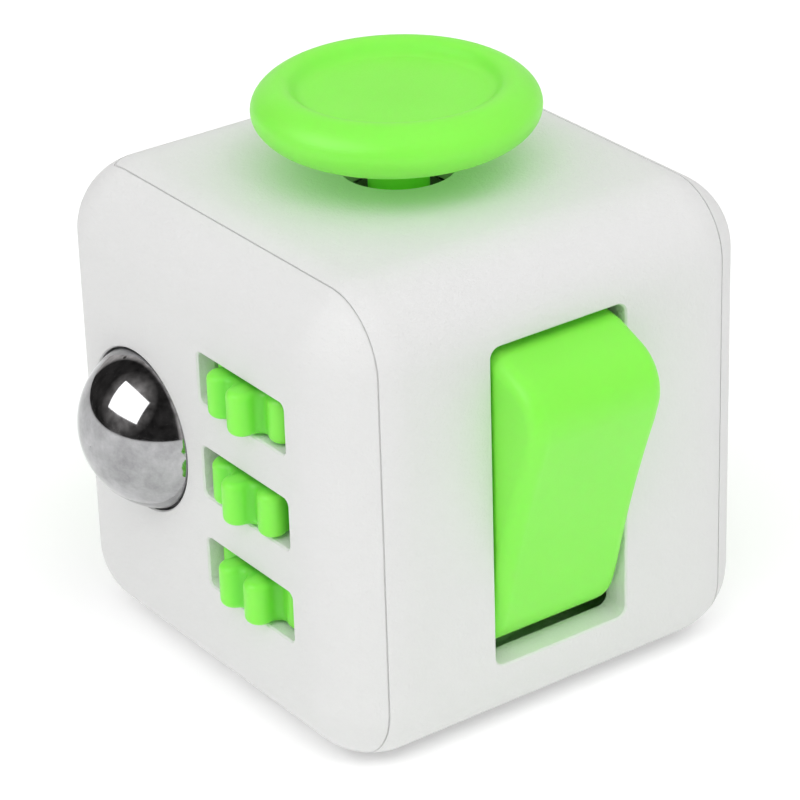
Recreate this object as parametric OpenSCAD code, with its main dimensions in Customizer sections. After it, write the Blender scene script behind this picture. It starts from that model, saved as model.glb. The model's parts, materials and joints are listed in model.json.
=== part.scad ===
/* [Casing] */
// Length of the cube's side
cube_side = 33; // [33:0.5:36]
// Rounding of the cube's edges and corners
edge_r = 5; // [4.5:0.1:5]
// Thickness of the casing's walls
wall = 2; // [1.9:0.05:2]
// Distance of the casing's seams from the outer faces
seam_depth = 3.1; // [2.9:0.1:3.3]
// Width and depth of the fine groove along the seam between the two shells
seam_groove = 0.12; // [0.06:0.02:0.2]

/* [Joystick] */
// Radius of the joystick's disc
disc_r = 9.3; // [8:0.1:10]
// Thickness of the disc
disc_h = 4.4; // [4:0.1:5]
// Gap between the top face and the disc
disc_lift = 2; // [1.6:0.1:2.5]
// Radius of the hole in the top face
stick_hole_r = 3.7; // [3.6:0.05:4.1]
// Depth of the joystick's pivot below the top face
pivot_depth = 7; // [7:0.1:7.2]

/* [Rocker] */
// Width of the rocker's opening
rocker_open_w = 10.5; // [10:0.1:10.6]
// Length of the rocker's opening
rocker_open_l = 22.4; // [22.2:0.1:23]
// Angle of the rocker in either of its two positions, in degrees
rocker_tilt = 17.4; // [14:0.1:17.4]

/* [Ball and wheels] */
// Radius of the steel ball
ball_r = 5.75; // [5.6:0.05:5.8]
// Depth of the ball's centre behind the face
ball_depth = 1.95; // [1.8:0.05:2.2]
// Radius of a wheel over its lobes
wheel_r = 5; // [4.7:0.05:5.05]
// Number of lobes on a wheel
wheel_lobes = 9; // [8:1:10]
// Thickness of a wheel
wheel_h = 3; // [2.8:0.1:3.2]

/* [Buttons and dial] */
// Radius of a button
button_r = 2.6; // [2.3:0.1:2.7]
// Distance from the middle button to the others, along each side
button_pitch = 6.4; // [6.2:0.1:6.4]
// Radius of the dial
dial_r = 7.6; // [7:0.1:9]
// Radius of the worry dish's edge
dish_r = 9.5; // [8:0.1:10]
// Depth of the worry dish
dish_depth = 2.2; // [1.5:0.1:2.3]

/* [Hidden] */

// Fineness of round surfaces
$fn = 64;

// Colours
white_plastic = [0.94, 0.94, 0.93];
green_plastic = [0.38, 0.95, 0.25];
black_plastic = [0.1, 0.1, 0.11];
polished_steel = [0.75, 0.75, 0.77];
plain_steel = [0.6, 0.61, 0.63];
spring_steel = [0.5, 0.5, 0.52];
soft_pad = [0.25, 0.25, 0.27];

// Half of the cube, and half of its hollow
half = cube_side / 2;
hollow_half = half - wall;
// Length by which a cutter passes through what it cuts
past = 1;
// Bevel round the mouths of the openings
bevel = 0.12;
// Clearance of a fixed pin or peg in its hole, and of a part that turns or slides
snug = 0.02;
running = 0.05;
// Running clearance between a dial, button or wheel and the shell around it
loose = 0.2;

// Small screws
screw_r = 0.6;
screw_head_r = 1.1;
screw_head_h = 0.9;
screw_slot_w = 0.3;
screw_slot_l = 1.3;
screw_slot_depth = 0.45;
// Clearance of a screw in the part that it holds down
screw_loose = 0.15;
// Depth by which a screw's blind hole runs into the wall
screw_bite = 0.7;
boss_r = 1.3;
dish_wall = 1.8;

// Corner tubes and pegs that hold the two shells together
post_place = half - 4.6;
post_r = 1.4;
peg_r = 0.8;
peg_l = 4;
peg_gap = 0.3;

// Joystick: heights below the top face are negative
dome_r = 6.1;
dome_t = 0.7;
dome_half_angle = 52;
stem_r = 2;
disc_edge = 3.8;
rim_start = 50;
rim_round = 1.1;
rim_slope = 45;
rim_drop = 0.3;
stick_r = 1.1;
stick_top = disc_lift + 2.2;
dome_seat = dome_r - 0.5;
hub_r = 1.6;
hub_half = 2;
pin_r = 0.7;
// Amount by which a cross pin stops short of the outside of its ring
pin_short = 0.1;
gimbal_inner_r = 2.7;
gimbal_outer_r = 3.9;
gimbal_h = 2.6;
foot_r = 3;
foot_h = 0.8;
foot_z = -pivot_depth - 2.4;
glide_flange_z = -5;
glide_flange_h = 1.2;
glide_cup_r = 5.4;
glide_cup_inner_r = 4.4;
glide_floor_z = -12.2;
glide_floor_h = 0.8;
glide_boss = [5.9, 4.9];
glide_spring_r = 2.3;
glide_wire_r = 0.2;
glide_spring_turns = 4;
glide_spring_sides = 8;
glide_spring_steps = 20;

// Rocker: heights below the right face are negative
open_corner = 0.7;
rocker_side_gap = 0.15;
rocker_w = rocker_open_w - 2 * rocker_side_gap;
rocker_pivot_z = -3.2;
rocker_pivot_y = 0.2;
rocker_open_y = 0.1;
rocker_face = 5.2;
rocker_end = rocker_open_l / 2 - rocker_open_y - loose;
// Lean of the rocker's end faces, and the height where each turns back towards the pin
end_slope = 4.4;
end_z = 0;
rocker_back = -2.6;
rocker_skin = 1.4;
// Rounding of the ridges between the front and the ends, and of the long edges
ridge_round = 3.2;
side_round = 1;
// Depth of the hollow of the front face
face_sag = 0.2;
flip_pin_r = 0.75;
flip_hub_r = 1.65;
nose_tip = 4.5;
nose_r = 0.6;
nose_w = 3;
ear_in = rocker_open_w / 2 + rocker_side_gap;
ear_t = 1.1;
ear_top = -2.1;
flip_plate_z = -9;
flip_plate_h = 1;
flip_half_l = 4.5;
flip_flange_z = -4.5;
flip_boss = [8.6, 3];
leaf_t = 0.2;
leaf_w = 4;
leaf_half_l = 4;
leaf_hump_r = 0.6;
leaf_stud_y = 3.2;
leaf_stud_r = 0.5;

// Ball: heights below the ball face are negative
ball_x = -6.58;
ball_y = 0.3;
seat_r = ball_r + 0.12;
cup_r = 6.2;
cup_seat_r = ball_r + 0.1;
cup_top = -3.2;
cup_floor = -8.5;
cup_base_r = 4.7;
cup_base_h = 1;
cup_stub_r = 1.5;
snap_dome_r = 3;
snap_dome_h = 0.8;
snap_t = 0.15;
guide_r = 6.85;
guide_top = -3.3;
roll_plate_z = -10.4;
roll_plate_h = 1.1;
roll_boss = [[-12.2, 8.2], [-12.2, -8.2], [-3.5, 9.1], [-3.5, -9.1]];

// Wheels
axle_x = 5.55;
axle_z = -3.6;
axle_r = 0.75;
axle_half = 9.5;
wheel_pitch = 6.6;
wheel_mid = 0.42;
// Height by which the wheels lie below the middles of their slots
wheel_drop = 0.1;
// Gap between a wheel and the lug beside it
lug_gap = 0.3;
slot_x0 = 0.9;
slot_x1 = 10.42;
slot_h = 3.5;
slot_corner = 0.4;
lobe_r = 0.95;
// Depth by which a valley's arc cuts into the lobes beside it
lobe_bite = 0.01;
valley_r = wheel_r - 1.15;
// Angle of a wheel's first lobe from straight out of the face
wheel_phase = [20, -1.8, 11.6];
lug_w = 2.6;
lug_t = 1.2;

// Buttons: heights below the button face are negative
button_places = [[0, 0], [-1, 1], [1, 1], [-1, -1], [1, -1]];
clicking = [0, 1, 4];
quiet = [2, 3];
button_out = 1.6;
flange_r = 3.2;
flange_h = 0.9;
flange_top = -wall - 0.05;
button_stub_r = 1.5;
button_stub_z = -3.9;
click_dome_r = 2.6;
click_dome_h = 0.7;
click_plate_top = button_stub_z - 0.05 - click_dome_h;
click_plate_h = 1.2;
click_plate_half = 10.3;
click_boss = 9.1;

// Dial: heights below the dial face are negative
dial_gap = 0.3;
dial_pocket = 0.8;
dial_floor = -0.7;
dial_out = 1.7;
dial_hub_r = 2;
dial_boss_r = 3.4;
dial_boss_z = -3.2;
dial_washer_r = 3.3;
dial_washer_h = 0.6;
// End play of the dial's hub in its boss
dial_play = 0.1;
dial_bevel = 0.8;
dial_rim_w = 1.6;
dial_dish = 0.6;
// Finger hollow: its ball's radius, its height above the dial, and how far it lies in from the rim
finger_r = 3.1;
finger_up = 1.6;
finger_in = 2.8;

// ---------- Places: each puts a part's own +Z out of one face, with z = 0 on that face ----------

module on_top() {
  translate([0, 0, cube_side]) children();
}

module on_right() {
  translate([half, 0, half]) rotate([90, 0, 90]) children();
}

module on_ball_face() {
  translate([0, -half, half]) rotate([90, 0, 0]) children();
}

module on_button_face() {
  translate([0, half, half]) rotate([90, 0, 180]) children();
}

module on_dial_face() {
  translate([-half, 0, half]) rotate([90, 0, -90]) children();
}

module at_four(place) {
  for (i = [-1, 1], j = [-1, 1]) {
    translate([i * place[0], j * place[1], 0]) children();
  }
}

module at_mid_sides(distance) {
  for (i = [0:3]) {
    rotate(90 * i) translate([distance, 0, 0]) children();
  }
}

// ---------- Shapes used more than once ----------

// A cylinder from height z0 to height z1
module bar(r, z0, z1) {
  translate([0, 0, z0]) cylinder(r = r, h = z1 - z0);
}

// A rectangle with round corners, centred
module round_rect(w, h, r) {
  square([w - 2 * r, h], center = true);
  square([w, h - 2 * r], center = true);
  for (i = [-1, 1], j = [-1, 1]) {
    translate([i * (w / 2 - r), j * (h / 2 - r)]) circle(r = r);
  }
}

// A cube with round edges and round corners, centred
module rounded_cube(side, r) {
  straight = side - 2 * r;
  for (turn = [[0, 0, 0], [90, 0, 0], [0, 90, 0]]) {
    rotate(turn) {
      cube([straight, straight, side], center = true);
      at_four([straight / 2, straight / 2]) cylinder(r = r, h = straight, center = true);
    }
  }
  for (k = [-1, 1]) {
    translate([0, 0, k * straight / 2]) at_four([straight / 2, straight / 2]) sphere(r = r);
  }
}

// A pan-head screw with a cross recess: its head's underside is at z = 0 and it points along +Z
module screw(length) {
  difference() {
    union() {
      bar(screw_r, 0, length);
      bar(screw_head_r, -screw_head_h, 0);
    }
    for (turn = [0, 90]) {
      rotate(turn) translate([-screw_slot_l / 2, -screw_slot_w / 2, -screw_head_h - past]) {
        cube([screw_slot_l, screw_slot_w, past + screw_slot_depth]);
      }
    }
  }
}

// A thin spherical cap that stands on z = 0
module snap_dome(r, h, t) {
  big = (r * r + h * h) / (2 * h);
  rotate_extrude() intersection() {
    translate([0, h - big]) difference() {
      circle(r = big, $fn = 180);
      circle(r = big - t, $fn = 180);
    }
    square([r + past, h + past]);
  }
}

// ---------- Casing ----------

module hollow_casing() {
  difference() {
    rounded_cube(cube_side, edge_r);
    rounded_cube(cube_side - 2 * wall, edge_r - wall);
  }
}

// The space that belongs to the C-shaped shell, grown by an amount
module main_space(grow) {
  seam = half - seam_depth + grow;
  plate_corner = 1;
  translate([0, 0, -half - past]) {
    linear_extrude(cube_side + 2 * past) {
      translate([-seam + plate_corner, -seam]) square([seam + half + past, 2 * seam]);
      translate([-seam, -seam + plate_corner]) square([2 * plate_corner, 2 * (seam - plate_corner)]);
      for (j = [-1, 1]) {
        translate([-seam + plate_corner, j * (seam - plate_corner)]) circle(r = plate_corner);
      }
    }
  }
}

// The fine groove that marks the seam on the outside
module groove() {
  intersection() {
    difference() {
      main_space(seam_groove / 2);
      main_space(-seam_groove / 2);
    }
    difference() {
      cube(cube_side + past, center = true);
      rounded_cube(cube_side - 2 * seam_groove, edge_r - seam_groove);
    }
  }
}

// Bevel round the mouth of a round hole in a face at z = 0
module hole_bevel(r) {
  translate([0, 0, -bevel]) cylinder(r1 = r, r2 = r + bevel + past, h = bevel + past);
}

// A bar along X whose sides spread outwards from z = -bevel
module bevel_bar(length, width) {
  low = width / 2;
  high = low + bevel + past;
  rotate([90, 0, 90]) linear_extrude(length, center = true) {
    polygon([[-low, -bevel], [low, -bevel], [high, past], [-high, past]]);
  }
}

// A hole with round corners through a face at z = 0, with a bevel round its mouth
module opening(w, h, r) {
  translate([0, 0, -wall - past]) linear_extrude(wall + 2 * past) round_rect(w, h, r);
  at_four([w / 2 - r, h / 2 - r]) hole_bevel(r);
  bevel_bar(w - 2 * r, h);
  rotate(90) bevel_bar(h - 2 * r, w);
}

module dish_ball(extra) {
  r = (dish_r * dish_r + dish_depth * dish_depth) / (2 * dish_depth);
  translate([0, 0, dish_depth - r]) sphere(r = r + extra, $fn = 160);
}

module shell_main() {
  color(white_plastic) difference() {
    union() {
      translate([0, 0, half]) intersection() {
        hollow_casing();
        main_space(0);
      }
      // Inside of the worry dish
      intersection() {
        dish_ball(dish_wall);
        translate([0, 0, wall / 2]) cylinder(r = dish_r, h = cube_side / 4);
      }
      on_top() at_four(glide_boss) bar(boss_r, glide_flange_z, -wall / 2);
      on_right() at_four(flip_boss) bar(boss_r, flip_flange_z + flip_plate_h, -wall / 2);
      // Pegs for the other shell's corner tubes
      on_right() at_four([post_place, post_place]) {
        bar(post_r, -half + snug, -wall / 2);
        bar(peg_r, -half - peg_l, -wall / 2);
      }
    }
    translate([0, 0, half]) groove();
    dish_ball(0);
    on_top() {
      bar(stick_hole_r, -wall - past, past);
      hole_bevel(stick_hole_r);
    }
    on_top() at_four(glide_boss) bar(screw_r + snug, glide_flange_z - past, -wall);
    on_right() {
      translate([0, rocker_open_y, 0]) opening(rocker_open_w, rocker_open_l, open_corner);
      at_four(flip_boss) bar(screw_r + snug, flip_flange_z - past, -wall + screw_bite);
    }
  }
}

module shell_side() {
  color(white_plastic) difference() {
    union() {
      translate([0, 0, half]) difference() {
        hollow_casing();
        main_space(0);
      }
      on_ball_face() {
        for (place = roll_boss) {
          translate(place) bar(boss_r, roll_plate_z + roll_plate_h, -wall / 2);
        }
      }
      on_button_face() at_mid_sides(click_boss) bar(boss_r, click_plate_top, -wall / 2);
      on_dial_face() {
        bar(dial_boss_r, dial_boss_z, -wall / 2);
        at_four([post_place, post_place]) bar(post_r, -half, -wall / 2);
      }
    }
    translate([0, 0, half]) groove();
    on_ball_face() {
      translate([ball_x, ball_y, 0]) {
        translate([0, 0, -ball_depth]) sphere(r = seat_r, $fn = 96);
        hole_bevel(sqrt(pow(seat_r, 2) - pow(ball_depth, 2)));
      }
      for (i = [-1:1]) {
        translate([(slot_x0 + slot_x1) / 2, wheel_mid + i * wheel_pitch, 0]) {
          opening(slot_x1 - slot_x0, slot_h, slot_corner);
        }
        // Relief of the wall around the wheel
        translate([axle_x, wheel_mid + i * wheel_pitch, axle_z]) rotate([90, 0, 0]) {
          cylinder(r = wheel_r + loose, h = slot_h, center = true);
        }
      }
      for (place = roll_boss) {
        translate(place) bar(screw_r + snug, roll_plate_z - past, -wall - 3);
      }
    }
    on_button_face() {
      for (place = button_places) {
        translate(button_pitch * place) {
          bar(button_r + loose, -wall - past, past);
          hole_bevel(button_r + loose);
        }
      }
      at_mid_sides(click_boss) bar(screw_r + snug, click_plate_top - past, -wall + screw_bite);
    }
    on_dial_face() {
      bar(dial_r + dial_gap, -dial_pocket, past);
      hole_bevel(dial_r + dial_gap);
      bar(dial_hub_r + running, dial_boss_z - past, 0);
      at_four([post_place, post_place]) bar(peg_r + snug, -half - past, -half + peg_l + peg_gap);
    }
  }
}

// ---------- Joystick ----------

// Points on an arc of an ellipse
function arc(centre, rx, ry, from, to, steps) = [
  for (i = [0:steps]) let (a = from + (to - from) * i / steps)
    [centre[0] + rx * cos(a), centre[1] + ry * sin(a)]
];

// Half of the disc's outline: an elliptical edge, a rounded rim, and a slope into a flat dish
module disc_outline() {
  edge_centre = [disc_r - disc_edge, disc_lift + disc_h / 2];
  // Slope of the edge where the rim's arc takes over, and the centre of that arc
  lean = atan(disc_h / 2 * cos(rim_start) / (disc_edge * sin(rim_start)));
  rim_at = [
    edge_centre[0] + disc_edge * cos(rim_start) - rim_round * sin(lean),
    edge_centre[1] + disc_h / 2 * sin(rim_start) - rim_round * cos(lean)
  ];
  foot_at = rim_at + (2 * rim_round) * [-sin(rim_slope), cos(rim_slope)]
    - rim_drop * [cos(rim_slope), sin(rim_slope)];
  floor_z = foot_at[1] - rim_round;
  polygon(concat(
    [[0, disc_lift]],
    arc(edge_centre, disc_edge, disc_h / 2, -90, rim_start, 32),
    arc(rim_at, rim_round, rim_round, 90 - lean, 90 + rim_slope, 12),
    arc(foot_at, rim_round, rim_round, rim_slope - 90, -90, 8),
    [[0, floor_z]]
  ));
}

module glide_disc() {
  color(green_plastic) on_top() difference() {
    union() {
      rotate_extrude($fn = 120) disc_outline();
      bar(stem_r, dome_seat - pivot_depth, disc_lift + 1);
    }
    bar(stick_r + snug, dome_seat - pivot_depth - past, stick_top + 2 * running);
  }
}

module glide_dome() {
  edge_z = dome_r * cos(dome_half_angle);
  color(black_plastic) on_top() translate([0, 0, -pivot_depth]) difference() {
    sphere(r = dome_r, $fn = 96);
    sphere(r = dome_r - dome_t, $fn = 96);
    translate([-dome_r - past, -dome_r - past, edge_z - 2 * dome_r - past]) {
      cube([2 * (dome_r + past), 2 * (dome_r + past), 2 * dome_r + past]);
    }
    bar(stick_r + snug, 0, dome_r + past);
    // Flat seat for the stem
    bar(stem_r + snug, dome_seat, dome_r + past);
  }
}

module glide_stick() {
  color(black_plastic) on_top() {
    translate([0, 0, -pivot_depth]) rotate([90, 0, 0]) {
      cylinder(r = hub_r, h = 2 * hub_half, center = true);
      cylinder(r = pin_r, h = 2 * (gimbal_outer_r - pin_short), center = true);
    }
    bar(stick_r, -pivot_depth, stick_top);
    bar(stick_r, foot_z, -pivot_depth);
    bar(foot_r, foot_z - foot_h, foot_z);
  }
}

module glide_gimbal() {
  color(black_plastic) on_top() translate([0, 0, -pivot_depth]) difference() {
    union() {
      cylinder(r = gimbal_outer_r, h = gimbal_h, center = true);
      rotate([0, 90, 0]) cylinder(r = pin_r, h = 2 * (glide_cup_r - pin_short), center = true);
    }
    cylinder(r = gimbal_inner_r, h = gimbal_h + 2 * past, center = true);
    rotate([90, 0, 0]) cylinder(r = pin_r + running, h = 2 * glide_cup_r, center = true);
  }
}

// The centre line of a coil spring, as points on a helix
function helix(r, turns, height, steps) = [
  for (i = [0:turns * steps]) let (a = 360 * i / steps)
    [r * cos(a), r * sin(a), height * i / (turns * steps)]
];

// A tube with the given number of sides, swept along points that circle the Z axis
module coil_tube(points, wire_r, sides) {
  count = len(points);
  rings = [
    for (p = points, k = [0:sides - 1])
      let (out = [p[0], p[1], 0] / norm([p[0], p[1], 0]), a = 360 * k / sides)
        p + wire_r * (cos(a) * out + sin(a) * [0, 0, 1])
  ];
  skin = [
    for (i = [0:count - 2], k = [0:sides - 1])
      let (next = (k + 1) % sides)
        [i * sides + k, i * sides + next, (i + 1) * sides + next, (i + 1) * sides + k]
  ];
  first_end = [[for (k = [0:sides - 1]) sides - 1 - k]];
  last_end = [[for (k = [0:sides - 1]) (count - 1) * sides + k]];
  polyhedron(points = rings, faces = concat(skin, first_end, last_end), convexity = 6);
}

module glide_spring() {
  low = glide_floor_z + glide_wire_r;
  high = foot_z - foot_h - glide_wire_r;
  color(spring_steel) on_top() translate([0, 0, low]) {
    coil_tube(
      helix(glide_spring_r, glide_spring_turns, high - low, glide_spring_steps),
      glide_wire_r - snug,
      glide_spring_sides
    );
  }
}

module glide_bracket() {
  flange_z = glide_flange_z - glide_flange_h;
  color(black_plastic) on_top() difference() {
    union() {
      translate([0, 0, flange_z]) linear_extrude(glide_flange_h) {
        round_rect(2 * (glide_boss[0] + 1.5), 2 * (glide_boss[1] + 1.5), 1.5);
      }
      bar(glide_cup_r, glide_floor_z - glide_floor_h, flange_z + glide_flange_h / 2);
    }
    bar(glide_cup_inner_r, glide_floor_z, past);
    translate([0, 0, -pivot_depth]) rotate([0, 90, 0]) {
      cylinder(r = pin_r + running, h = 2 * (glide_cup_r + past), center = true);
    }
    at_four(glide_boss) bar(screw_r + screw_loose, flange_z - past, past);
  }
}

module glide_screws() {
  color(plain_steel) on_top() at_four(glide_boss) {
    translate([0, 0, glide_flange_z - glide_flange_h]) screw(3.6);
  }
}

// ---------- Rocker ----------

// Puts children in the rocker's own frame: x along the pin, y along the rocker, z out of its face
module rocker_frame() {
  on_right() translate([0, rocker_pivot_y, rocker_pivot_z]) rotate([rocker_tilt, 0, 0]) children();
}

// Half of the side outline of the rocker in its own y-z plane, with a round ridge
module rocker_half() {
  ridge_y = rocker_end - (rocker_face - end_z) * tan(end_slope);
  arc_at = [ridge_y - ridge_round * tan((90 - end_slope) / 2), rocker_face - ridge_round];
  back_y = sqrt(pow(rocker_end, 2) - pow(rocker_back, 2));
  polygon([
    [-past, rocker_back], [back_y, rocker_back], [rocker_end, end_z],
    arc_at + ridge_round * [cos(end_slope), sin(end_slope)],
    [arc_at[0], rocker_face], [-past, rocker_face]
  ]);
  translate(arc_at) circle(r = ridge_round);
}

// Side outline of the rocker, with its front face slightly hollow
module rocker_side() {
  reach = rocker_end - 1.5 * ridge_round;
  sag_r = (pow(reach, 2) + pow(face_sag, 2)) / (2 * face_sag);
  difference() {
    for (side = [0, 1]) {
      mirror([side, 0]) rocker_half();
    }
    translate([0, rocker_face - face_sag + sag_r]) circle(r = sag_r, $fn = 720);
  }
}

module flip_rocker() {
  inner_w = rocker_w - 2 * rocker_skin;
  inner_l = 2 * (rocker_end - ridge_round / 2 - rocker_skin);
  color(green_plastic) rocker_frame() difference() {
    union() {
      difference() {
        intersection() {
          rotate([90, 0, 90]) linear_extrude(rocker_w, center = true) rocker_side();
          // Rounds the long edges beside the front face
          rotate([90, 0, 0]) linear_extrude(3 * rocker_end, center = true) {
            translate([0, rocker_face - rocker_open_w / 2]) {
              round_rect(rocker_w, rocker_open_w, side_round);
            }
          }
          // Rounds the edges beside the end faces
          intersection_for (side = [0, 1]) {
            mirror([0, side, 0]) translate([0, rocker_end, 0]) rotate([end_slope, 0, 0]) {
              linear_extrude(4 * rocker_end, center = true) translate([0, -rocker_end]) {
                round_rect(rocker_w, 2 * rocker_end, side_round);
              }
            }
          }
        }
        // Hollow behind the front face
        translate([-inner_w / 2, -inner_l / 2, rocker_back - past]) {
          cube([inner_w, inner_l, rocker_face - rocker_skin - rocker_back + past]);
        }
      }
      // Hub on the pin, and the web and nose behind it
      rotate([0, 90, 0]) cylinder(r = flip_hub_r, h = rocker_w, center = true);
      translate([-nose_w / 2, -nose_r, -nose_tip + nose_r]) {
        cube([nose_w, 2 * nose_r, nose_tip - nose_r + rocker_face - rocker_skin / 2]);
      }
      translate([0, 0, -nose_tip + nose_r]) rotate([0, 90, 0]) {
        cylinder(r = nose_r, h = nose_w, center = true);
      }
    }
    rotate([0, 90, 0]) cylinder(r = flip_pin_r + running, h = rocker_w + 2 * past, center = true);
  }
}

module flip_pin() {
  length = 2 * (ear_in + ear_t - running);
  color(plain_steel) on_right() translate([0, rocker_pivot_y, rocker_pivot_z]) {
    rotate([0, 90, 0]) cylinder(r = flip_pin_r, h = length, center = true);
  }
}

module flip_bracket() {
  ear_out = ear_in + ear_t;
  flange_out = flip_boss[0] + boss_r;
  color(black_plastic) on_right() difference() {
    union() {
      translate([0, rocker_pivot_y, 0]) rotate([90, 0, 0]) {
        linear_extrude(2 * flip_half_l, center = true) {
          translate([-ear_out, flip_plate_z]) square([2 * ear_out, flip_plate_h]);
          for (side = [0, 1]) {
            mirror([side, 0]) {
              translate([ear_in, flip_plate_z]) square([ear_t, ear_top - flip_plate_z]);
              translate([ear_in, flip_flange_z]) square([flange_out - ear_in, flip_plate_h]);
            }
          }
        }
      }
      // Studs that locate the leaf spring
      for (side = [-1, 1]) {
        translate([0, rocker_pivot_y + side * leaf_stud_y, 0]) {
          bar(leaf_stud_r, flip_plate_z, flip_plate_z + flip_plate_h + 2 * leaf_t);
        }
      }
    }
    translate([0, rocker_pivot_y, rocker_pivot_z]) rotate([0, 90, 0]) {
      cylinder(r = flip_pin_r + snug, h = 3 * ear_out, center = true);
    }
    at_four(flip_boss) bar(screw_r + screw_loose, flip_flange_z - past, flip_flange_z + flip_plate_h + past);
  }
}

module flip_spring() {
  base = flip_plate_z + flip_plate_h;
  color(spring_steel) on_right() translate([0, rocker_pivot_y, base]) difference() {
    rotate([90, 0, 90]) linear_extrude(leaf_w, center = true) difference() {
      union() {
        translate([-leaf_half_l, 0]) square([2 * leaf_half_l, leaf_t]);
        translate([0, leaf_t]) circle(r = leaf_hump_r);
      }
      translate([0, leaf_t]) circle(r = leaf_hump_r - leaf_t);
      translate([-leaf_hump_r - past, -2 * past]) square([2 * (leaf_hump_r + past), 2 * past]);
      translate([leaf_t - leaf_hump_r, -past]) square([2 * (leaf_hump_r - leaf_t), past + leaf_t]);
    }
    for (side = [-1, 1]) {
      translate([0, side * leaf_stud_y, 0]) bar(leaf_stud_r + snug, -past, past);
    }
  }
}

module flip_screws() {
  color(plain_steel) on_right() at_four(flip_boss) translate([0, 0, flip_flange_z]) screw(2.9);
}

// ---------- Ball and wheels ----------

module at_ball() {
  on_ball_face() translate([ball_x, ball_y, 0]) children();
}

module roll_ball() {
  color(polished_steel) at_ball() translate([0, 0, -ball_depth]) sphere(r = ball_r, $fn = 128);
}

module ball_cup() {
  color(black_plastic) at_ball() difference() {
    union() {
      bar(cup_r, cup_floor + cup_base_h, cup_top);
      bar(cup_base_r, cup_floor + cup_base_h / 2, cup_floor + 2 * cup_base_h);
      bar(cup_stub_r, cup_floor, cup_floor + cup_base_h);
    }
    translate([0, 0, -ball_depth]) sphere(r = cup_seat_r, $fn = 96);
  }
}

module ball_snap_dome() {
  color(spring_steel) at_ball() translate([0, 0, roll_plate_z + roll_plate_h]) {
    snap_dome(snap_dome_r, snap_dome_h, snap_t);
  }
}

// Outline of a lobed wheel: each valley's arc meets the lobes' arcs smoothly
module wheel_outline() {
  step = 360 / wheel_lobes;
  c = cos(step / 2);
  lobe_at = wheel_r - lobe_r;
  hollow_r = (pow(lobe_at, 2) + pow(valley_r, 2) - 2 * lobe_at * valley_r * c - pow(lobe_r, 2))
    / (2 * (lobe_r - valley_r + lobe_at * c));
  hollow_at = valley_r + hollow_r;
  difference() {
    union() {
      polygon([
        for (i = [0:2 * wheel_lobes - 1]) let (r = i % 2 == 0 ? lobe_at : hollow_at, a = i * step / 2)
          [r * cos(a), r * sin(a)]
      ]);
      for (i = [0:wheel_lobes - 1]) {
        rotate(i * step) translate([lobe_at, 0]) circle(r = lobe_r);
      }
    }
    for (i = [0:wheel_lobes - 1]) {
      rotate((i + 0.5) * step) translate([hollow_at, 0]) circle(r = hollow_r + lobe_bite);
    }
  }
}

// Wheel number 0 is the lowest, 2 the highest
module wheel(number) {
  mid = half + wheel_mid - wheel_drop + (number - 1) * wheel_pitch;
  color(green_plastic) translate([axle_x, -half - axle_z, mid - wheel_h / 2]) {
    rotate(-90 + wheel_phase[number]) difference() {
      linear_extrude(wheel_h) wheel_outline();
      bar(axle_r + running, -past, wheel_h + past);
    }
  }
}

module wheel_bottom() {
  wheel(0);
}

module wheel_middle() {
  wheel(1);
}

module wheel_top() {
  wheel(2);
}

module wheel_axle() {
  color(plain_steel) translate([axle_x, -half - axle_z, half + wheel_mid]) {
    cylinder(r = axle_r, h = 2 * axle_half, center = true);
  }
}

module roll_bracket() {
  plate_top = roll_plate_z + roll_plate_h;
  left = -13.8;
  right = 7;
  half_l = 10.2;
  outer_lug = wheel_pitch + wheel_h / 2 + lug_gap + lug_t / 2;
  lug_places = [-outer_lug, -wheel_pitch / 2, wheel_pitch / 2, outer_lug];
  color(black_plastic) on_ball_face() difference() {
    union() {
      translate([left, -half_l, roll_plate_z]) cube([right - left, 2 * half_l, roll_plate_h]);
      translate([ball_x, ball_y, 0]) bar(guide_r, roll_plate_z, guide_top);
      for (place = lug_places) {
        translate([axle_x - lug_w / 2, wheel_mid + place - lug_t / 2, roll_plate_z]) {
          cube([lug_w, lug_t, axle_z - roll_plate_z + 1.3]);
        }
      }
    }
    translate([ball_x, ball_y, 0]) bar(cup_r + 2 * running, plate_top, past);
    translate([axle_x, 0, axle_z]) rotate([90, 0, 0]) {
      cylinder(r = axle_r + snug, h = cube_side, center = true);
    }
    for (place = roll_boss) {
      translate(place) bar(screw_r + screw_loose, roll_plate_z - past, plate_top + past);
    }
  }
}

module roll_screws() {
  color(plain_steel) on_ball_face() {
    for (place = roll_boss) {
      translate([place[0], place[1], roll_plate_z]) screw(4.4);
    }
  }
}

// ---------- Buttons ----------

module at_button(number) {
  on_button_face() translate(button_pitch * button_places[number]) children();
}

module button(number) {
  crown = 12;
  color(green_plastic) at_button(number) {
    intersection() {
      bar(button_r, flange_top - flange_h / 2, button_out);
      translate([0, 0, button_out - crown]) sphere(r = crown, $fn = 120);
    }
    bar(flange_r, flange_top - flange_h, flange_top);
    bar(button_stub_r, button_stub_z, flange_top);
  }
}

module button_centre() {
  button(0);
}

module button_1() {
  button(1);
}

module button_2() {
  button(2);
}

module button_3() {
  button(3);
}

module button_4() {
  button(4);
}

module click_dome(number) {
  color(spring_steel) at_button(number) translate([0, 0, click_plate_top]) {
    snap_dome(click_dome_r, click_dome_h, snap_t);
  }
}

module click_dome_1() {
  click_dome(clicking[0]);
}

module click_dome_2() {
  click_dome(clicking[1]);
}

module click_dome_3() {
  click_dome(clicking[2]);
}

module quiet_pad(number) {
  color(soft_pad) at_button(number) bar(2, click_plate_top, click_plate_top + click_dome_h);
}

module quiet_pad_1() {
  quiet_pad(quiet[0]);
}

module quiet_pad_2() {
  quiet_pad(quiet[1]);
}

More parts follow.
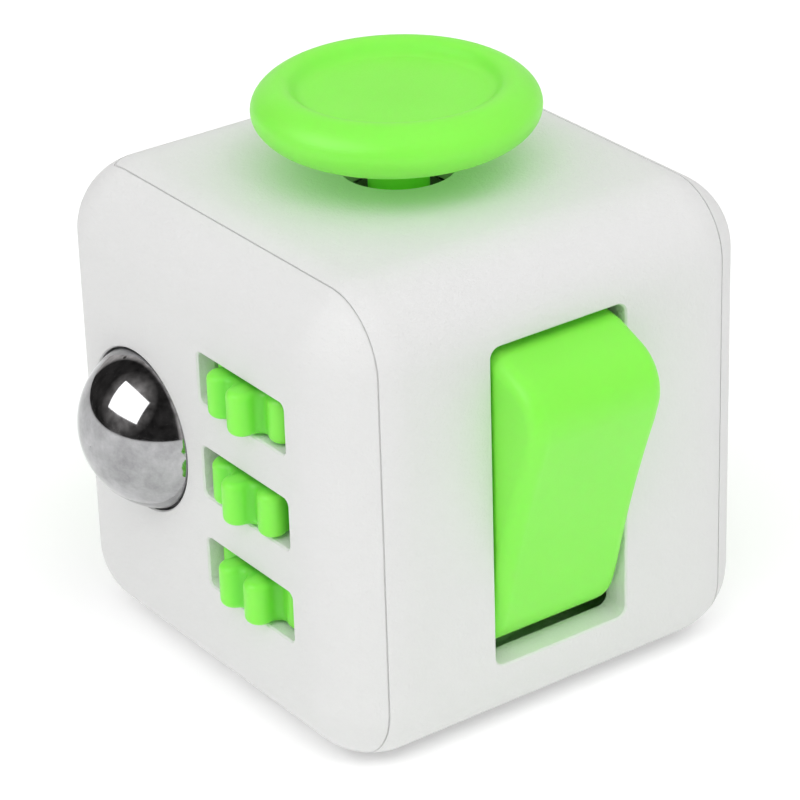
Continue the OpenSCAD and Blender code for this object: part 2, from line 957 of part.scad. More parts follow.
module click_plate() {
  color(black_plastic) on_button_face() difference() {
    translate([0, 0, click_plate_top - click_plate_h]) linear_extrude(click_plate_h) {
      round_rect(2 * click_plate_half, 2 * click_plate_half, 1);
    }
    at_mid_sides(click_boss) bar(screw_r + screw_loose, click_plate_top - click_plate_h - past, 0);
  }
}

module click_screws() {
  color(plain_steel) on_button_face() at_mid_sides(click_boss) {
    translate([0, 0, click_plate_top - click_plate_h]) screw(3.6);
  }
}

// ---------- Dial ----------

module spin_dial() {
  dish_edge = dial_r - dial_rim_w;
  color(green_plastic) on_dial_face() difference() {
    union() {
      rotate_extrude($fn = 120) {
        polygon([
          [0, dial_floor], [dial_r, dial_floor], [dial_r, dial_out - dial_bevel], [dial_r - dial_bevel, dial_out],
          [dish_edge, dial_out], [dish_edge - dial_dish, dial_out - dial_dish], [0, dial_out - dial_dish]
        ]);
      }
      bar(dial_hub_r, dial_boss_z - dial_play, 0);
    }
    // Finger hollow
    translate([0, dish_edge - finger_in, dial_out + finger_up]) sphere(r = finger_r);
    bar(screw_r + snug, dial_boss_z - past, dial_floor + dial_gap);
  }
}

module spin_washer() {
  top = dial_boss_z - dial_play;
  color(plain_steel) on_dial_face() difference() {
    bar(dial_washer_r, top - dial_washer_h, top);
    bar(screw_r + screw_loose, top - dial_washer_h - past, top + past);
  }
}

module spin_screw() {
  color(plain_steel) on_dial_face() {
    translate([0, 0, dial_boss_z - dial_play - dial_washer_h]) screw(3);
  }
}

shell_main();
shell_side();
glide_disc();
glide_dome();
glide_stick();
glide_gimbal();
glide_spring();
glide_bracket();
glide_screws();
flip_rocker();
flip_pin();
flip_bracket();
flip_spring();
flip_screws();
roll_ball();
ball_cup();
ball_snap_dome();
wheel_top();
wheel_middle();
wheel_bottom();
wheel_axle();
roll_bracket();
roll_screws();
button_centre();
button_1();
button_2();
button_3();
button_4();
click_dome_1();
click_dome_2();
click_dome_3();
quiet_pad_1();
quiet_pad_2();
click_plate();
click_screws();
spin_dial();
spin_washer();
spin_screw();
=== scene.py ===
import json
import math

import bmesh
import bpy
from mathutils import Matrix, Vector


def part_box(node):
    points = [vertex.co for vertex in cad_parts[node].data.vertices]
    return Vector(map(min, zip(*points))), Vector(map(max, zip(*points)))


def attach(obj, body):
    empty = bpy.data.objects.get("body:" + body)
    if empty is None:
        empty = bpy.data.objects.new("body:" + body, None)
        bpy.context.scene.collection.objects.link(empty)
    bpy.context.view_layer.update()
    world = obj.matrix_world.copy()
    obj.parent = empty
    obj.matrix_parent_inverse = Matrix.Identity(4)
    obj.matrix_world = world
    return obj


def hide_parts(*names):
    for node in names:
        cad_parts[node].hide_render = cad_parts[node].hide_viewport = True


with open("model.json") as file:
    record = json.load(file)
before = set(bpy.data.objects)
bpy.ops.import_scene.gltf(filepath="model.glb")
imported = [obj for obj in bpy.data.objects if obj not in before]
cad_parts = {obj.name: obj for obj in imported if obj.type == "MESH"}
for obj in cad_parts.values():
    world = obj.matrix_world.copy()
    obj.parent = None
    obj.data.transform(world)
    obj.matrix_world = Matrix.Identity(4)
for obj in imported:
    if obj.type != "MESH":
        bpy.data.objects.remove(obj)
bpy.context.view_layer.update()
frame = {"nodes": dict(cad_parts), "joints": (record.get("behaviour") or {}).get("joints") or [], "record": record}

MM = 0.001
CUBE_SIDE = 33 * MM
HALF = CUBE_SIDE / 2
CUBE_MIDDLE = Vector((0, 0, HALF))

# The photograph's viewing angle, as seen from the middle of the cube
CAMERA_AZIMUTH = 54.66
CAMERA_ELEVATION = 26.93
CAMERA_ROLL = -1.77
CAMERA_DISTANCE = 236.06 * MM
CAMERA_LENS = 161.07
CAMERA_SHIFT = (-0.0068, -0.0051)

# Brightness of the surroundings at the horizon and overhead
SKY_LOW = 0.46
SKY_HIGH = 0.92
# Azimuth and elevation of the side that mirrors see as dark, and of the softbox
DARK_SIDE = (-97, 0)
SOFTBOX_SIDE = (-97, 37)

scene = bpy.context.scene
nodes_by_name = frame["nodes"]


# ---------- Node material helpers ----------

class Shader:
    """Builds one node material around a Principled shader."""

    def __init__(self, name):
        self.material = bpy.data.materials.new(name)
        self.material.use_nodes = True
        self.tree = self.material.node_tree
        self.tree.nodes.clear()
        self.output = self.tree.nodes.new("ShaderNodeOutputMaterial")
        self.shader = self.tree.nodes.new("ShaderNodeBsdfPrincipled")
        self.link(self.shader.outputs[0], self.output.inputs["Surface"])
        self.coords = self.tree.nodes.new("ShaderNodeTexCoord")

    def link(self, out_socket, in_socket):
        self.tree.links.new(out_socket, in_socket)

    def node(self, kind, **settings):
        made = self.tree.nodes.new(kind)
        for key, value in settings.items():
            setattr(made, key, value)
        return made

    def set(self, **values):
        """Sets the shader's own sockets: underscores stand for spaces."""
        for key, value in values.items():
            self.shader.inputs[key.replace("_", " ")].default_value = value

    def noise(self, size, detail=2.0, rough=0.5, stretch=(1, 1, 1)):
        """Noise whose features are about `size` metres across; gives a value from 0 to 1."""
        mapping = self.node("ShaderNodeMapping")
        mapping.inputs["Scale"].default_value = stretch
        self.link(self.coords.outputs["Object"], mapping.inputs["Vector"])
        made = self.node("ShaderNodeTexNoise")
        made.inputs["Scale"].default_value = 1 / size
        made.inputs["Detail"].default_value = detail
        made.inputs["Roughness"].default_value = rough
        self.link(mapping.outputs["Vector"], made.inputs["Vector"])
        return made.outputs["Fac"]

    def cells(self, size):
        """Distance to the nearest point of scattered cells about `size` metres across."""
        made = self.node("ShaderNodeTexVoronoi")
        made.inputs["Scale"].default_value = 1 / size
        self.link(self.coords.outputs["Object"], made.inputs["Vector"])
        return made.outputs["Distance"]

    def remap(self, value, low, high, to_low, to_high):
        made = self.node("ShaderNodeMapRange")
        made.inputs["From Min"].default_value = low
        made.inputs["From Max"].default_value = high
        made.inputs["To Min"].default_value = to_low
        made.inputs["To Max"].default_value = to_high
        self.link(value, made.inputs["Value"])
        return made.outputs["Result"]

    def math(self, operation, a, b):
        made = self.node("ShaderNodeMath", operation=operation)
        for socket, value in zip(made.inputs, (a, b)):
            if isinstance(value, (int, float)):
                socket.default_value = value
            else:
                self.link(value, socket)
        return made.outputs[0]

    def mix(self, factor, a, b):
        made = self.node("ShaderNodeMix", data_type="RGBA")
        self.link(factor, made.inputs["Factor"])
        for socket, value in ((made.inputs["A"], a), (made.inputs["B"], b)):
            if isinstance(value, tuple):
                socket.default_value = (*value, 1)
            else:
                self.link(value, socket)
        return made.outputs["Result"]

    def bump(self, height, depth, strength=1.0, below=None):
        """Adds surface relief: a height from 0 to 1 stands for `depth` metres."""
        made = self.node("ShaderNodeBump")
        made.inputs["Strength"].default_value = strength
        made.inputs["Distance"].default_value = depth
        self.link(height, made.inputs["Height"])
        if below is not None:
            self.link(below, made.inputs["Normal"])
        return made.outputs["Normal"]


# ---------- Materials ----------

def white_shell():
    """Off-white matte ABS with a fine spark-eroded grain."""
    s = Shader("white_shell")
    cloud = s.noise(9 * MM, 3)
    s.link(s.mix(cloud, (0.76, 0.76, 0.755), (0.785, 0.785, 0.78)), s.shader.inputs["Base Color"])
    fine = s.noise(0.3 * MM, 4, 0.7)
    s.link(s.remap(fine, 0.3, 0.7, 0.46, 0.62), s.shader.inputs["Roughness"])
    grain = s.bump(fine, 0.07 * MM, 1.0)
    s.link(s.bump(cloud, 0.02 * MM, 0.5, grain), s.shader.inputs["Normal"])
    s.set(IOR=1.5, Specular_IOR_Level=0.3)
    return s.material


def green_plastic():
    """Bright green satin plastic, so translucent that its shadows are pale and green."""
    s = Shader("green_plastic")
    cloud = s.noise(6 * MM, 2)
    plain = s.mix(cloud, (0.24, 0.87, 0.065), (0.28, 0.91, 0.09))
    # Painted shade: where a piece carries a hollow value, as in the wheels' valleys, the colour goes towards a
    # darker green
    hollow = s.node("ShaderNodeAttribute", attribute_name="hollow").outputs["Fac"]
    s.link(s.mix(hollow, plain, (0.10, 0.60, 0.03)), s.shader.inputs["Base Color"])
    fine = s.noise(0.12 * MM, 3, 0.55)
    s.link(s.remap(fine, 0.3, 0.7, 0.36, 0.48), s.shader.inputs["Roughness"])
    s.link(s.bump(fine, 0.004 * MM, 0.7), s.shader.inputs["Normal"])
    s.set(IOR=1.49, Specular_IOR_Level=0.45, Subsurface_Weight=0.5, Subsurface_Scale=1.2 * MM)
    s.shader.inputs["Subsurface Radius"].default_value = (0.35, 1.0, 0.2)
    glow = s.node("ShaderNodeBsdfTransparent")
    glow.inputs["Color"].default_value = (0.55, 0.86, 0.44, 1)
    shadow = s.node("ShaderNodeMixShader")
    s.link(s.node("ShaderNodeLightPath").outputs["Is Shadow Ray"], shadow.inputs["Fac"])
    s.link(s.shader.outputs[0], shadow.inputs[1])
    s.link(glow.outputs[0], shadow.inputs[2])
    s.link(shadow.outputs[0], s.output.inputs["Surface"])
    return s.material


def black_plastic():
    s = Shader("black_plastic")
    cloud = s.noise(3 * MM, 3)
    s.link(s.mix(cloud, (0.012, 0.012, 0.013), (0.02, 0.02, 0.021)), s.shader.inputs["Base Color"])
    fine = s.noise(0.14 * MM, 3, 0.6)
    s.link(s.remap(fine, 0.3, 0.7, 0.42, 0.6), s.shader.inputs["Roughness"])
    s.link(s.bump(fine, 0.008 * MM, 0.8), s.shader.inputs["Normal"])
    return s.material


def polished_steel():
    """Mirror-polished bearing steel with faint handling marks."""
    s = Shader("polished_steel")
    smudge = s.noise(1.8 * MM, 6, 0.7)
    tone = s.mix(s.remap(smudge, 0.3, 0.7, 0, 1), (0.28, 0.28, 0.285), (0.48, 0.48, 0.49))
    specks = s.remap(s.cells(2.1 * MM), 0.04, 0.085, 0, 1)
    s.link(s.mix(specks, (0.06, 0.06, 0.06), tone), s.shader.inputs["Base Color"])
    s.link(s.remap(smudge, 0.35, 0.7, 0.03, 0.11), s.shader.inputs["Roughness"])
    pits = s.noise(0.25 * MM, 4, 0.7)
    s.link(s.bump(pits, 0.001 * MM, 0.35), s.shader.inputs["Normal"])
    s.set(Metallic=1.0)
    return s.material


def metal(name, dark, light, rough):
    """Plain steel with fine drawn lines."""
    s = Shader(name)
    lines = s.noise(0.08 * MM, 3, 0.6, (1, 1, 0.08))
    s.link(s.mix(lines, dark, light), s.shader.inputs["Base Color"])
    s.link(s.remap(lines, 0.3, 0.7, rough - 0.06, rough + 0.1), s.shader.inputs["Roughness"])
    s.link(s.bump(lines, 0.002 * MM, 0.6), s.shader.inputs["Normal"])
    s.set(Metallic=1.0)
    return s.material


def soft_pad():
    s = Shader("soft_pad")
    pores = s.cells(0.2 * MM)
    s.link(s.mix(pores, (0.03, 0.03, 0.033), (0.06, 0.06, 0.065)), s.shader.inputs["Base Color"])
    s.link(s.bump(pores, 0.03 * MM, 0.8), s.shader.inputs["Normal"])
    s.set(Roughness=0.85)
    return s.material


MATERIALS = {
    "white_shell": white_shell(),
    "green_plastic": green_plastic(),
    "black_plastic": black_plastic(),
    "polished_steel": polished_steel(),
    "zinc_steel": metal("zinc_steel", (0.50, 0.51, 0.53), (0.62, 0.63, 0.65), 0.28),
    "spring_steel": metal("spring_steel", (0.36, 0.36, 0.38), (0.48, 0.48, 0.50), 0.24),
    "soft_pad": soft_pad(),
}


def dress_cad_nodes():
    """Gives each CAD node the material of its slot."""
    for part in frame["record"]["subparts"]:
        piece = nodes_by_name[part["node"]]
        piece.data.materials.clear()
        piece.data.materials.append(MATERIALS[part["material_slot"]])


# ---------- Mesh helpers ----------

def polar(radius, degrees):
    a = math.radians(degrees)
    return Vector((radius * math.cos(a), radius * math.sin(a)))


def outward_arc(centre, radius, start, end, steps):
    """Points of an arc with their outward normals, as (point, normal) pairs."""
    found = []
    for i in range(steps + 1):
        out = polar(1, start + (end - start) * i / steps)
        found.append((centre + radius * out, out))
    return found


def rounded_polygon(corners, steps):
    """Outline of a convex polygon given as (x, y, corner radius), anticlockwise."""
    outline = []
    count = len(corners)
    for i, (x, y, radius) in enumerate(corners):
        here = Vector((x, y))
        before = (here - Vector(corners[i - 1][:2])).normalized()
        after = (Vector(corners[(i + 1) % count][:2]) - here).normalized()
        start = math.degrees(math.atan2(-before.x, before.y))
        turn = math.degrees(before.angle_signed(after) * -1) % 360
        reach = radius * math.tan(math.radians(turn) / 2)
        inward = Vector((-before.y, before.x))
        centre = here - before * reach + inward * radius
        outline += outward_arc(centre, radius, start, start + turn, steps)
    return outline


def slab_rings(outline, low, high, edge, steps=5):
    """Rings of a slab from height low to high whose edges are rounded by `edge`."""
    levels = []
    for i in range(steps + 1):
        a = math.pi / 2 * i / steps
        levels.append((edge * (1 - math.sin(a)), edge * (1 - math.cos(a))))
    rings = []
    for inset, rise in levels:
        rings.append([(*(p - n * inset), low + rise) for p, n in outline])
    for inset, rise in reversed(levels):
        rings.append([(*(p - n * inset), high - rise) for p, n in outline])
    return rings


def add_loft(bm, rings, place, caps=True, loop=False):
    """Joins rings of equal length with quads, with a face on each end or back to the start."""
    made = [[bm.verts.new(place(Vector(p))) for p in ring] for ring in rings]
    pairs = list(zip(made, made[1:]))
    if loop:
        pairs.append((made[-1], made[0]))
    for lower, upper in pairs:
        count = len(lower)
        for i in range(count):
            bm.faces.new((lower[i], lower[(i + 1) % count], upper[(i + 1) % count], upper[i]))
    if caps and not loop:
        bm.faces.new(list(reversed(made[0])))
        bm.faces.new(made[-1])


def add_lathe(bm, profile, place, steps=96):
    """Turns a profile of (radius, height) points about the local Z axis; both ends are on the axis."""
    rings = []
    for radius, height in profile[1:-1]:
        rings.append([(*polar(radius, 360 * i / steps), height) for i in range(steps)])
    add_loft(bm, rings, place, caps=False)
    bm.verts.ensure_lookup_table()
    first = len(bm.verts) - len(rings) * steps
    ends = ((first, profile[0][1], True), (len(bm.verts) - steps, profile[-1][1], False))
    for ring_start, height, flip in ends:
        tip = bm.verts.new(place(Vector((0, 0, height))))
        bm.verts.ensure_lookup_table()
        for i in range(steps):
            pair = [bm.verts[ring_start + i], bm.verts[ring_start + (i + 1) % steps]]
            bm.faces.new((*(reversed(pair) if flip else pair), tip))


def carve(bm, other, operation):
    """Applies a boolean of another bmesh to this one and returns the result as a new bmesh."""
    objects = []
    for source in (bm, other):
        mesh = bpy.data.meshes.new("carving")
        bmesh.ops.recalc_face_normals(source, faces=source.faces)
        source.to_mesh(mesh)
        source.free()
        made = bpy.data.objects.new("carving", mesh)
        scene.collection.objects.link(made)
        objects.append(made)
    boolean = objects[0].modifiers.new("carve", "BOOLEAN")
    boolean.object = objects[1]
    boolean.operation = operation
    boolean.solver = "EXACT"
    graph = bpy.context.evaluated_depsgraph_get()
    result = bmesh.new()
    result.from_mesh(objects[0].evaluated_get(graph).to_mesh())
    for made in objects:
        mesh = made.data
        bpy.data.objects.remove(made)
        bpy.data.meshes.remove(mesh)
    return result


def body_holding(node):
    bodies = frame["record"]["behaviour"]["bodies"]
    return next(body for body, members in bodies.items() if node in members)


def slot_of(node):
    return next(part["material_slot"] for part in frame["record"]["subparts"] if part["node"] == node)


def joint_place(name):
    return Vector(next(joint["pos_m"] for joint in frame["joints"] if joint["name"] == name))


def finish_piece(name, bm, node, sharp_angle=35):
    """Makes the piece that shows instead of a CAD node and rides on the same body."""
    bmesh.ops.recalc_face_normals(bm, faces=bm.faces)
    for edge in bm.edges:
        edge.smooth = not (edge.is_manifold and edge.calc_face_angle(0) > math.radians(sharp_angle))
    for face in bm.faces:
        face.smooth = True
    mesh = bpy.data.meshes.new(name)
    bm.to_mesh(mesh)
    bm.free()
    piece = bpy.data.objects.new(name, mesh)
    scene.collection.objects.link(piece)
    mesh.materials.append(MATERIALS[slot_of(node)])
    shade = piece.modifiers.new("shade", "WEIGHTED_NORMAL")
    shade.keep_sharp = True
    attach(piece, body_holding(node))
    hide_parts(node)
    return piece


# ---------- Wheels ----------

WHEEL_R = 5 * MM
WHEEL_LOBES = 9
LOBE_R = 0.95 * MM
VALLEY_R = WHEEL_R - 1.15 * MM
WHEEL_EDGE = 0.45 * MM
AXLE_BORE_R = 0.8 * MM
# Share of the painted shade, a darker green, at the bottom of a valley
VALLEY_PAINTED_SHADE = 0.65
WHEEL_PHASES = {"bottom": 20, "middle": -1.8, "top": 11.6}


def wheel_outline():
    """Lobes joined by valleys whose arcs meet them smoothly."""
    step = 360 / WHEEL_LOBES
    c = math.cos(math.radians(step / 2))
    lobe_at = WHEEL_R - LOBE_R
    valley_arc = (lobe_at ** 2 + VALLEY_R ** 2 - 2 * lobe_at * VALLEY_R * c - LOBE_R ** 2)
    valley_arc /= 2 * (LOBE_R - VALLEY_R + lobe_at * c)
    to_valley = polar(VALLEY_R + valley_arc, step / 2) - Vector((lobe_at, 0))
    lean = math.degrees(math.atan2(to_valley.y, to_valley.x))
    outline = []
    for i in range(WHEEL_LOBES):
        turn = i * step
        outline += outward_arc(polar(lobe_at, turn), LOBE_R, turn - lean, turn + lean, 12)
        hollow = polar(VALLEY_R + valley_arc, turn + step / 2)
        inner = outward_arc(hollow, valley_arc, turn + lean + 180, turn + step - lean + 180, 12)
        outline += [(point, -out) for point, out in inner[1:-1]]
    return outline


def wheel(name):
    node = f"wheel_{name}"
    axle = joint_place(f"{node}_spin")
    low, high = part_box(node)
    turn = Matrix.Rotation(math.radians(-90 + WHEEL_PHASES[name]), 3, "Z")

    def place(point):
        return turn @ point + Vector((axle.x, axle.y, 0))

    outline = wheel_outline()
    rings = slab_rings(outline, low[2], high[2], WHEEL_EDGE)
    bore = [point.normalized() * AXLE_BORE_R for point, _ in outline]
    rings += [[(*p, high[2]) for p in bore], [(*p, low[2]) for p in bore]]
    bm = bmesh.new()
    add_loft(bm, rings, place, loop=True)
    piece = finish_piece(f"{node}_rounded", bm, node)
    # Painted shade: each vertex's hollow value makes the green darker deeper in the valleys between the lobes
    tone = piece.data.attributes.new("hollow", "FLOAT", "POINT")
    for vertex, value in zip(piece.data.vertices, tone.data):
        below_rim = WHEEL_R - (Vector(vertex.co.xy) - axle.xy).length
        value.value = VALLEY_PAINTED_SHADE * min(1, below_rim / (WHEEL_R - VALLEY_R))


# ---------- Rocker ----------

ROCKER_TILT = 17.4
ROCKER_W = 10.2 * MM
ROCKER_FACE = 5.2 * MM
ROCKER_END = 10.9 * MM
ROCKER_END_SLOPE = 4.4
ROCKER_RIDGE_ROUND = 3.2 * MM
ROCKER_BACK = -2.6 * MM
ROCKER_SAG = 0.2 * MM
ROCKER_EDGE = 1.0 * MM
ROCKER_SKIN = 1.4 * MM
ROCKER_PIN_R = 0.8 * MM
ROCKER_HUB_R = 1.65 * MM
NOSE_TIP = 4.5 * MM
NOSE_R = 0.6 * MM
NOSE_HALF_W = 1.5 * MM


def rocker_outline():
    """Side view of the rocker: round ridges, steep ends and a slightly hollow front."""
    ridge = ROCKER_END - ROCKER_FACE * math.tan(math.radians(ROCKER_END_SLOPE))
    back = math.sqrt(ROCKER_END ** 2 - ROCKER_BACK ** 2)
    least = 1.05 * ROCKER_EDGE
    right = [
        (back, ROCKER_BACK, least),
        (ROCKER_END, 0, least),
        (ridge, ROCKER_FACE, ROCKER_RIDGE_ROUND),
    ]
    left = [(-y, z, radius) for y, z, radius in reversed(right)]
    steps = 12
    outline = rounded_polygon(right + left, steps)
    reach = ROCKER_END - 1.5 * ROCKER_RIDGE_ROUND
    front = []
    for i in range(17):
        y = reach * (1 - i / 8)
        slope = 2 * ROCKER_SAG * y / reach ** 2
        point = Vector((y, ROCKER_FACE - ROCKER_SAG * (1 - (y / reach) ** 2)))
        front.append((point, Vector((-slope, 1)).normalized()))
    split = len(right) * (steps + 1)
    return outline[:split] + front + outline[split:]


def rocker():
    pivot = joint_place("flip")
    tilt = Matrix.Rotation(math.radians(ROCKER_TILT), 3, "X")
    # Local x runs along the pin, y along the rocker and z out of its face
    axes = Matrix(((0, 0, 1), (1, 0, 0), (0, 1, 0)))

    def place(point):
        return axes @ (tilt @ point) + pivot

    def across(point):
        """For slabs drawn in the rocker's side view and extruded along the pin."""
        return place(Vector((point.z, point.x, point.y)))

    half_w = ROCKER_W / 2
    body = bmesh.new()
    add_loft(body, slab_rings(rocker_outline(), -half_w, half_w, ROCKER_EDGE, 8), across)

    hollow = bmesh.new()
    inner_y = ROCKER_END - ROCKER_RIDGE_ROUND / 2 - ROCKER_SKIN
    inner = rounded_polygon([
        (-inner_y, 2 * ROCKER_BACK, 0.3 * MM),
        (inner_y, 2 * ROCKER_BACK, 0.3 * MM),
        (inner_y, ROCKER_FACE - ROCKER_SKIN, 0.6 * MM),
        (-inner_y, ROCKER_FACE - ROCKER_SKIN, 0.6 * MM),
    ], 3)
    add_loft(hollow, slab_rings(inner, ROCKER_SKIN - half_w, half_w - ROCKER_SKIN, 0.25 * MM, 3), across)
    body = carve(body, hollow, "DIFFERENCE")

    hub = bmesh.new()
    circle = outward_arc(Vector((0, 0)), ROCKER_HUB_R, 0, 352.5, 47)
    inside = half_w - ROCKER_SKIN / 2
    add_loft(hub, slab_rings(circle, -inside, inside, 0.01 * MM, 1), across)
    body = carve(body, hub, "UNION")

    nose = bmesh.new()
    web = rounded_polygon([
        (-NOSE_R, -NOSE_TIP, 0.98 * NOSE_R),
        (NOSE_R, -NOSE_TIP, 0.98 * NOSE_R),
        (NOSE_R, ROCKER_FACE - ROCKER_SKIN / 2, 0.1 * MM),
        (-NOSE_R, ROCKER_FACE - ROCKER_SKIN / 2, 0.1 * MM),
    ], 8)
    add_loft(nose, slab_rings(web, -NOSE_HALF_W, NOSE_HALF_W, 0.09 * MM, 2), across)
    body = carve(body, nose, "UNION")

    bore = bmesh.new()
    circle = outward_arc(Vector((0, 0)), ROCKER_PIN_R, 0, 350, 35)
    add_loft(bore, slab_rings(circle, -ROCKER_W, ROCKER_W, 0.01 * MM, 1), across)
    body = carve(body, bore, "DIFFERENCE")
    finish_piece("flip_rocker_rounded", body, "flip_rocker")


# ---------- Buttons and dial ----------

BUTTON_R = 2.6 * MM
BUTTON_CROWN = 12 * MM
BUTTON_EDGE = 0.45 * MM
BUTTON_STUB_R = 1.5 * MM
BUTTON_OUT = 1.6 * MM
FLANGE_R = 3.2 * MM
FLANGE_H = 0.9 * MM
FLANGE_TOP = -2.05 * MM
SMALL_EDGE = 0.12 * MM
DIAL_R = 7.6 * MM
DIAL_FLOOR = -0.7 * MM
DIAL_OUT = 1.7 * MM
DIAL_EDGE = 0.75 * MM
DIAL_RIM = 1.6 * MM
DIAL_DISH = 0.6 * MM
DIAL_HUB_R = 2 * MM
FINGER_R = 3.1 * MM
FINGER_UP = 1.6 * MM
FINGER_IN = 2.8 * MM


def corner_arc(radius, height, edge, start, end, steps=6):
    """Profile points of an arc round (radius, height)."""
    centre = Vector((radius, height))
    return [tuple(centre + polar(edge, start + (end - start) * i / steps)) for i in range(steps + 1)]


def button(node):
    low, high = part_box(node)
    middle = Vector(((low[0] + high[0]) / 2, HALF, (low[2] + high[2]) / 2))

    def place(point):
        return middle + Vector((-point.x, point.z, point.y))

    sphere_z = BUTTON_OUT - BUTTON_CROWN
    edge_at = BUTTON_R - BUTTON_EDGE
    edge_z = sphere_z + math.sqrt((BUTTON_CROWN - BUTTON_EDGE) ** 2 - edge_at ** 2)
    lean = math.degrees(math.acos(edge_at / (BUTTON_CROWN - BUTTON_EDGE)))
    stub_end = low[1] - HALF
    flange_low = FLANGE_TOP - FLANGE_H
    profile = [(0, stub_end), (BUTTON_STUB_R, stub_end), (BUTTON_STUB_R, flange_low)]
    profile += [(FLANGE_R, flange_low), (FLANGE_R, FLANGE_TOP), (BUTTON_R, FLANGE_TOP)]
    profile += corner_arc(edge_at, edge_z, BUTTON_EDGE, 0, lean, 8)
    profile += corner_arc(0, sphere_z, BUTTON_CROWN, lean, 90, 10)
    bm = bmesh.new()
    add_lathe(bm, profile, place)
    finish_piece(f"{node}_rounded", bm, node)


def dial():
    hub_end = -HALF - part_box("spin_dial")[1][0]

    def place(point):
        return Vector((-HALF - point.z, -point.x, HALF + point.y))

    dish = DIAL_R - DIAL_RIM
    profile = [(0, hub_end), (DIAL_HUB_R, hub_end), (DIAL_HUB_R, DIAL_FLOOR), (DIAL_R, DIAL_FLOOR)]
    profile += corner_arc(DIAL_R - DIAL_EDGE, DIAL_OUT - DIAL_EDGE, DIAL_EDGE, 0, 90, 8)
    profile += corner_arc(dish + SMALL_EDGE, DIAL_OUT - SMALL_EDGE, SMALL_EDGE, 90, 135, 3)
    profile += [(dish - DIAL_DISH + SMALL_EDGE, DIAL_OUT - DIAL_DISH + SMALL_EDGE)]
    profile += [(dish - DIAL_DISH - SMALL_EDGE, DIAL_OUT - DIAL_DISH), (0, DIAL_OUT - DIAL_DISH)]
    body = bmesh.new()
    add_lathe(body, profile, place, 160)
    finger = bmesh.new()
    centre = place(Vector((0, dish - FINGER_IN, DIAL_OUT + FINGER_UP)))
    bmesh.ops.create_uvsphere(finger, u_segments=96, v_segments=64, radius=FINGER_R,
                              matrix=Matrix.Translation(centre))
    body = carve(body, finger, "DIFFERENCE")
    finish_piece("spin_dial_rounded", body, "spin_dial")


# ---------- Stage ----------

# The floor lies just under the rest face, so the two never share a plane
FLOOR_Z = -0.01 * MM
FLOOR_REACH = 3.0
FLOOR_GLOW = 0.17


def add_floor():
    mesh = bpy.data.meshes.new("floor")
    ways = ((-1, -1), (1, -1), (1, 1), (-1, 1))
    corners = [(x * FLOOR_REACH, y * FLOOR_REACH, FLOOR_Z) for x, y in ways]
    mesh.from_pydata(corners, [], [(0, 1, 2, 3)])
    floor = bpy.data.objects.new("floor", mesh)
    scene.collection.objects.link(floor)
    s = Shader("floor")
    tone = s.noise(0.4, 2)
    s.link(s.mix(tone, (0.95, 0.95, 0.95), (0.97, 0.97, 0.97)), s.shader.inputs["Base Color"])
    s.set(Roughness=0.8, Specular_IOR_Level=0.2)
    s.set(Emission_Color=(1, 1, 1, 1), Emission_Strength=FLOOR_GLOW)
    mesh.materials.append(s.material)


def direction(azimuth, elevation):
    """Unit vector towards an azimuth from +X, anticlockwise seen from above, and an elevation."""
    a, e = math.radians(azimuth), math.radians(elevation)
    return Vector((math.cos(a) * math.cos(e), math.sin(a) * math.cos(e), math.sin(e)))


# Each light's azimuth, elevation, distance, width, height, power in watts and the rays that miss it
LIGHTS = {
    "front_light": (-35, 60, 0.9, 0.8, 0.5, 2.65, "visible_glossy"),
    "side_light": (25, 55, 0.9, 0.8, 0.5, 1.1, "visible_glossy"),
    "softbox": (*SOFTBOX_SIDE, 0.55, 0.5, 0.335, 0.4, None),
    "glint": (*SOFTBOX_SIDE, 0.56, 0.5, 0.335, 1.3, "visible_diffuse"),
}


def add_area_light(name, azimuth, elevation, distance, width, height, watts, missed_by):
    data = bpy.data.lights.new(name, "AREA")
    data.shape = "RECTANGLE"
    data.size = width
    data.size_y = height
    data.energy = watts
    light = bpy.data.objects.new(name, data)
    out = direction(azimuth, elevation)
    light.location = CUBE_MIDDLE + out * distance
    light.rotation_euler = out.to_track_quat("Z", "Y").to_euler()
    if missed_by:
        setattr(light, missed_by, False)
    scene.collection.objects.link(light)


def add_lights():
    """Two wide soft lights, and a softbox beside the ball whose mirror image shows on the steel."""
    for name, settings in LIGHTS.items():
        add_area_light(name, *settings)


# What a mirror sees: a pale surface, a dark room to one side and a glow round the softbox
MIRROR_PALE = 0.68
MIRROR_DARK = 0.04
MIRROR_GLOW = 0.3
MIRROR_TINT = (1, 0.96, 0.94, 1)


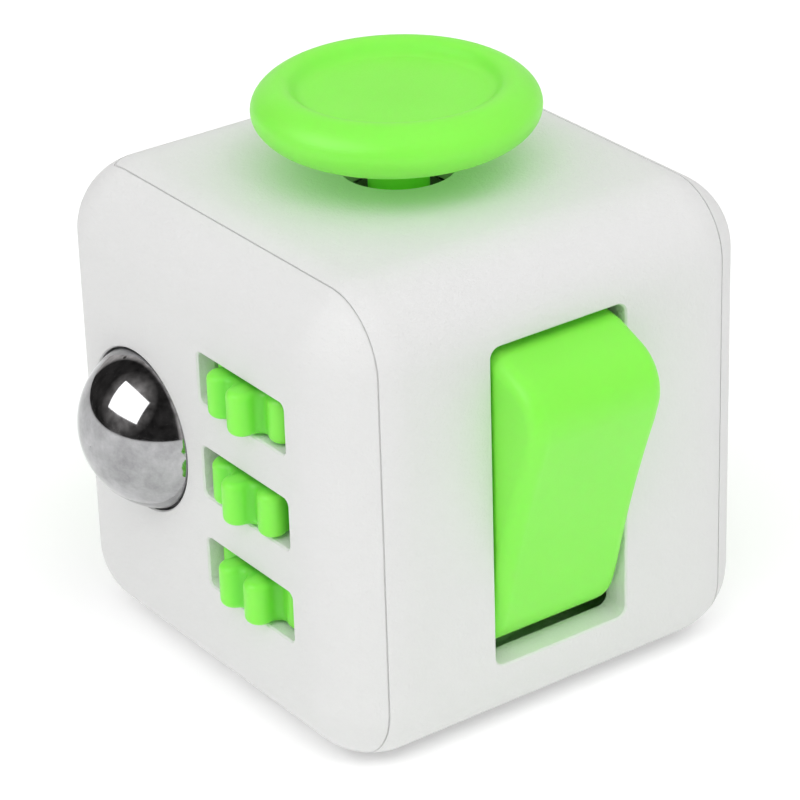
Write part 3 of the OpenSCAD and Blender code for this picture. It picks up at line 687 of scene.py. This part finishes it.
def add_world():
    """White surroundings, brighter overhead, which a mirror sees as a dark room before a pale wall."""
    world = bpy.data.worlds.new("studio")
    scene.world = world
    world.use_nodes = True
    tree = world.node_tree
    tree.nodes.clear()

    def node(kind, **values):
        made = tree.nodes.new(kind)
        for key, value in values.items():
            made.inputs[key.replace("_", " ")].default_value = value
        return made

    def link(out_socket, in_socket):
        tree.links.new(out_socket, in_socket)

    def towards(side):
        """How closely a ray points to one side: 1 straight at it, 0 across it."""
        made = tree.nodes.new("ShaderNodeVectorMath")
        made.operation = "DOT_PRODUCT"
        made.inputs[1].default_value = direction(*side)
        link(coords, made.inputs[0])
        return made.outputs["Value"]

    def combine(operation, first, second):
        made = tree.nodes.new("ShaderNodeMath")
        made.operation = operation
        link(first, made.inputs[0])
        link(second, made.inputs[1])
        return made.outputs[0]

    coords = tree.nodes.new("ShaderNodeTexCoord").outputs["Generated"]
    split = node("ShaderNodeSeparateXYZ")
    link(coords, split.inputs[0])
    rise = node("ShaderNodeMapRange", From_Min=0, From_Max=1, To_Min=SKY_LOW, To_Max=SKY_HIGH)
    link(split.outputs["Z"], rise.inputs["Value"])
    plain = node("ShaderNodeBackground")
    link(rise.outputs["Result"], plain.inputs["Strength"])

    room = node("ShaderNodeMapRange", From_Min=0.1, From_Max=0.16, To_Min=MIRROR_PALE, To_Max=MIRROR_DARK)
    link(towards(DARK_SIDE), room.inputs["Value"])
    cloud = node("ShaderNodeTexNoise", Scale=5.0, Detail=6.0)
    link(coords, cloud.inputs["Vector"])
    patchy = node("ShaderNodeMapRange", From_Min=0.3, From_Max=0.7, To_Min=0.45, To_Max=1.5)
    link(cloud.outputs["Fac"], patchy.inputs["Value"])
    halo = node("ShaderNodeMapRange", From_Min=0.76, From_Max=0.95, To_Min=0, To_Max=MIRROR_GLOW)
    link(towards(SOFTBOX_SIDE), halo.inputs["Value"])
    light = combine("ADD", room.outputs["Result"], halo.outputs["Result"])
    mirrored = node("ShaderNodeBackground")
    mirrored.inputs["Color"].default_value = MIRROR_TINT
    link(combine("MULTIPLY", light, patchy.outputs["Result"]), mirrored.inputs["Strength"])

    path = tree.nodes.new("ShaderNodeLightPath")
    mix = tree.nodes.new("ShaderNodeMixShader")
    link(path.outputs["Is Glossy Ray"], mix.inputs["Fac"])
    link(plain.outputs[0], mix.inputs[1])
    link(mirrored.outputs[0], mix.inputs[2])
    link(mix.outputs[0], node("ShaderNodeOutputWorld").inputs["Surface"])


def add_camera():
    a, e, r = (math.radians(v) for v in (CAMERA_AZIMUTH, CAMERA_ELEVATION, CAMERA_ROLL))
    back = Vector((math.sin(a) * math.cos(e), -math.cos(a) * math.cos(e), math.sin(e)))
    level = Vector((math.cos(a), math.sin(a), 0))
    up = back.cross(level)
    right = math.cos(r) * level + math.sin(r) * up
    top = math.cos(r) * up - math.sin(r) * level
    data = bpy.data.cameras.new("camera")
    data.lens = CAMERA_LENS
    data.sensor_width = 36
    data.shift_x, data.shift_y = CAMERA_SHIFT
    data.clip_start = 0.01
    data.clip_end = 20
    camera = bpy.data.objects.new("camera", data)
    turn = Matrix((right, top, back)).transposed().to_4x4()
    camera.matrix_world = Matrix.Translation(CUBE_MIDDLE + back * CAMERA_DISTANCE) @ turn
    scene.collection.objects.link(camera)
    scene.camera = camera


add_camera()
add_floor()
add_world()
add_lights()
dress_cad_nodes()
for name in WHEEL_PHASES:
    wheel(name)
rocker()
for name in ("centre", "1", "2", "3", "4"):
    button(f"button_{name}")
dial()
scene.view_settings.view_transform = "Standard"
